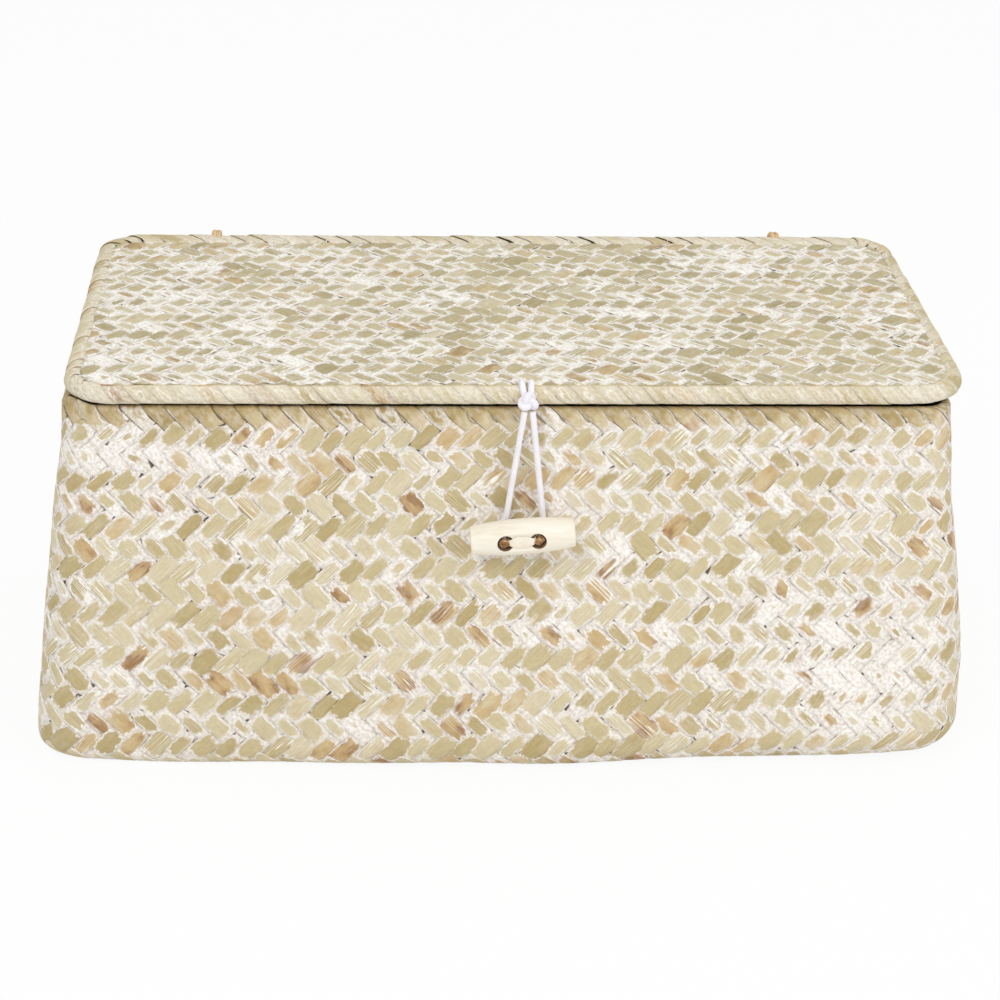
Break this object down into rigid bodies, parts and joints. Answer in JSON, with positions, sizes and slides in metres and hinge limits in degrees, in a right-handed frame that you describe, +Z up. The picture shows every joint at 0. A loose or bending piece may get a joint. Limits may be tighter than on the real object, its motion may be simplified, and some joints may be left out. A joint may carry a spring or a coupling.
{
  "type": "woven lidded box",
  "caption": "Rectangular whitewashed bias-woven box with swelling walls, a flat tied-on lid and an elastic loop that hooks over a wooden toggle.",
  "frame": {"origin": "middle of the flat underside of the base", "axes": "+X along the long front wall to the right seen from the front, +Y from the front wall to the back, +Z up"},
  "size_m": [0.3324, 0.2017, 0.1392],
  "materials": {
    "weave": "flat plant-fibre strands in a bias twill, whitewashed, matt",
    "binding": "folded plant-fibre strands, lightly whitewashed, matt",
    "cane": "split cane, plain",
    "string": "twisted plant-fibre string",
    "elastic": "white braided round elastic",
    "toggle": "pale turned wood, smooth, satin",
    "fibre": "flat plant-fibre strip"
  },
  "bodies": {
    "box": {"woven_body": "weave", "body_rim_binding": "binding", "body_rim_hoop": "cane", "hinge_tie_left": "string", "hinge_tie_right": "string", "toggle_lashing": "fibre"},
    "lid": {"lid_panel": "weave", "lid_rim_binding": "binding", "lid_rim_hoop": "cane", "elastic_anchor": "elastic"},
    "loop": {"elastic_loop": "elastic"},
    "toggle": {"toggle": "toggle"}
  },
  "joints": [
    {"name": "lid_hinge", "type": "hinge", "parent": "box", "child": "lid", "pos_m": [0.0027, 0.085, 0.1302], "axis": [-1, 0, 0], "range_deg": [0, 110], "deforming": ["elastic_loop"]},
    {"name": "loop_swing", "type": "hinge", "parent": "lid", "child": "loop", "pos_m": [0.0055, -0.0889, 0.1299], "axis": [1, 0, 0], "range_deg": [0, 80]},
    {"name": "toggle_swivel", "type": "hinge", "parent": "box", "child": "toggle", "pos_m": [0.0035, -0.097, 0.08816], "axis": [0, 1, 0], "range_deg": [-10, 10]}
  ],
  "couplings": [
    {"joint": "loop_swing", "follows": "lid_hinge", "ratio": 0.7}
  ]
}
